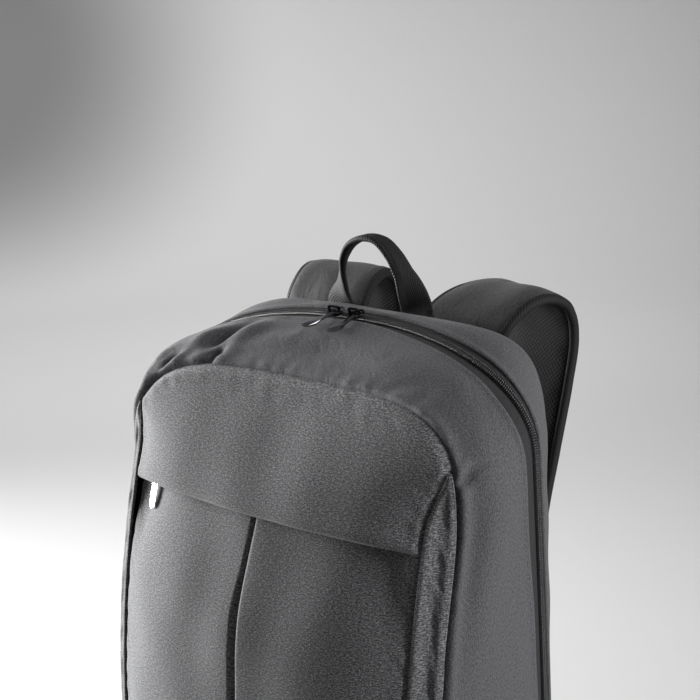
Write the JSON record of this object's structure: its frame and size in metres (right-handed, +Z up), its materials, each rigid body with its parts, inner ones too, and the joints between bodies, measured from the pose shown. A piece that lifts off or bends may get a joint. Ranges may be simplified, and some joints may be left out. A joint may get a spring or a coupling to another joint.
{
  "type": "laptop backpack",
  "caption": "Slim upright laptop backpack with a zipped main compartment, a zipped front pocket, a webbing grab handle and padded shoulder straps.",
  "frame": {"origin": "middle of the base, on the surface that the bag stands on", "axes": "+Z up, the front pocket faces -Y, the shoulder straps are on the +Y side, +X is the right-hand side of the bag seen from the front"},
  "size_m": [0.2926, 0.2471, 0.4821],
  "materials": {
    "heather_cloth": "two-tone heather polyester, plain weave, matt",
    "plain_cloth": "smooth grey polyester, matt with a soft sheen",
    "webbing": "black twill webbing and binding tape",
    "spacer_mesh": "black knitted spacer mesh over foam",
    "zip_tape": "dark grey woven zip tape",
    "zip_coil": "black nylon coil, semi-gloss",
    "gunmetal": "gunmetal plated, glossy",
    "satin_alloy": "bright satin plated alloy",
    "plastic": "black moulded acetal"
  },
  "bodies": {
    "root": {"main_gusset": "plain_cloth", "rear_gusset": "plain_cloth", "main_zip_front_tape": "zip_tape", "main_zip_coil": "zip_coil", "main_zip_rear_tape": "zip_tape", "main_zip_slider_left": "gunmetal", "main_zip_slider_right": "gunmetal", "back_panel": "spacer_mesh", "pocket_upper_panel": "heather_cloth", "pocket_lower_right_panel": "heather_cloth", "pocket_lower_left_panel": "heather_cloth", "pocket_wedge_right": "plain_cloth", "pocket_wedge_left": "plain_cloth", "pocket_back_wall": "plain_cloth", "pocket_zip": "zip_tape", "pocket_zip_slider": "satin_alloy", "base": "plain_cloth", "handle": "webbing", "left_strap_pad": "plain_cloth", "left_strap_outer_binding": "webbing", "left_strap_inner_binding": "webbing", "left_strap_adjuster": "plastic", "left_strap_webbing": "webbing", "left_strap_tab": "webbing", "right_strap_pad": "plain_cloth", "right_strap_outer_binding": "webbing", "right_strap_inner_binding": "webbing", "right_strap_adjuster": "plastic", "right_strap_webbing": "webbing", "right_strap_tab": "webbing"},
    "main_zip_pull_left": {"main_zip_pull_left": "gunmetal"},
    "main_zip_pull_right": {"main_zip_pull_right": "gunmetal"},
    "pocket_zip_pull": {"pocket_zip_pull": "satin_alloy"}
  },
  "joints": [
    {"name": "main_zip_pull_left_swivel", "type": "hinge", "parent": "root", "child": "main_zip_pull_left", "pos_m": [-0.01405, 0.04075, 0.43341], "axis": [-0.0333, -0.3295, 0.9436], "range_deg": [-38, 16]},
    {"name": "main_zip_pull_right_swivel", "type": "hinge", "parent": "root", "child": "main_zip_pull_right", "pos_m": [0.0025, 0.04094, 0.43355], "axis": [-0.0066, -0.333, 0.9429], "range_deg": [-16, 45]},
    {"name": "pocket_zip_pull_swivel", "type": "hinge", "parent": "root", "child": "pocket_zip_pull", "pos_m": [-0.09266, -0.05133, 0.337], "axis": [-0.3302, -0.9102, 0.25], "range_deg": [-60, 60]}
  ]
}
